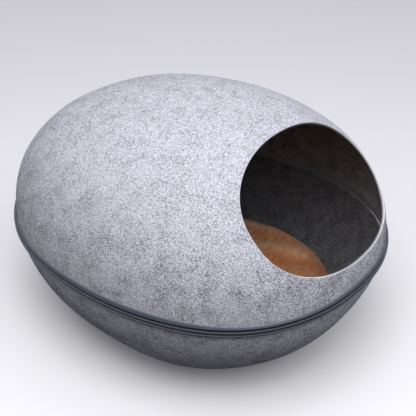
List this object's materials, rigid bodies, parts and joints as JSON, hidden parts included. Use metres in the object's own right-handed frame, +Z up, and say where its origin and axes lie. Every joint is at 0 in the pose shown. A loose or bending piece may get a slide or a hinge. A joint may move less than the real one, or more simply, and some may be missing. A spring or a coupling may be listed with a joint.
{
  "type": "felt cat cave",
  "caption": "Egg-shaped felt pet cave of two pressed shells joined by a zip round the middle, with a slanted round opening and a loose plush cushion inside.",
  "frame": {"origin": "on the floor, under the middle of the egg", "axes": "+X along the egg towards the end with the opening, +Y across the egg to its side with the zip's slider, +Z up"},
  "size_m": [0.488, 0.4137, 0.3],
  "materials": {
    "felt": "light grey heather pressed felt",
    "zip_tape": "slate blue woven tape",
    "zip_coil": "grey nylon coil",
    "zip_metal": "dark lacquered metal",
    "plush": "orange-brown short plush"
  },
  "bodies": {
    "root": {"felt_dome": "felt", "felt_bowl": "felt", "zip_tape_upper": "zip_tape", "zip_tape_lower": "zip_tape", "zip_coil_upper": "zip_coil", "zip_coil_lower": "zip_coil", "zip_slider": "zip_metal", "zip_pull": "zip_metal", "cushion": "plush"}
  },
  "joints": []
}
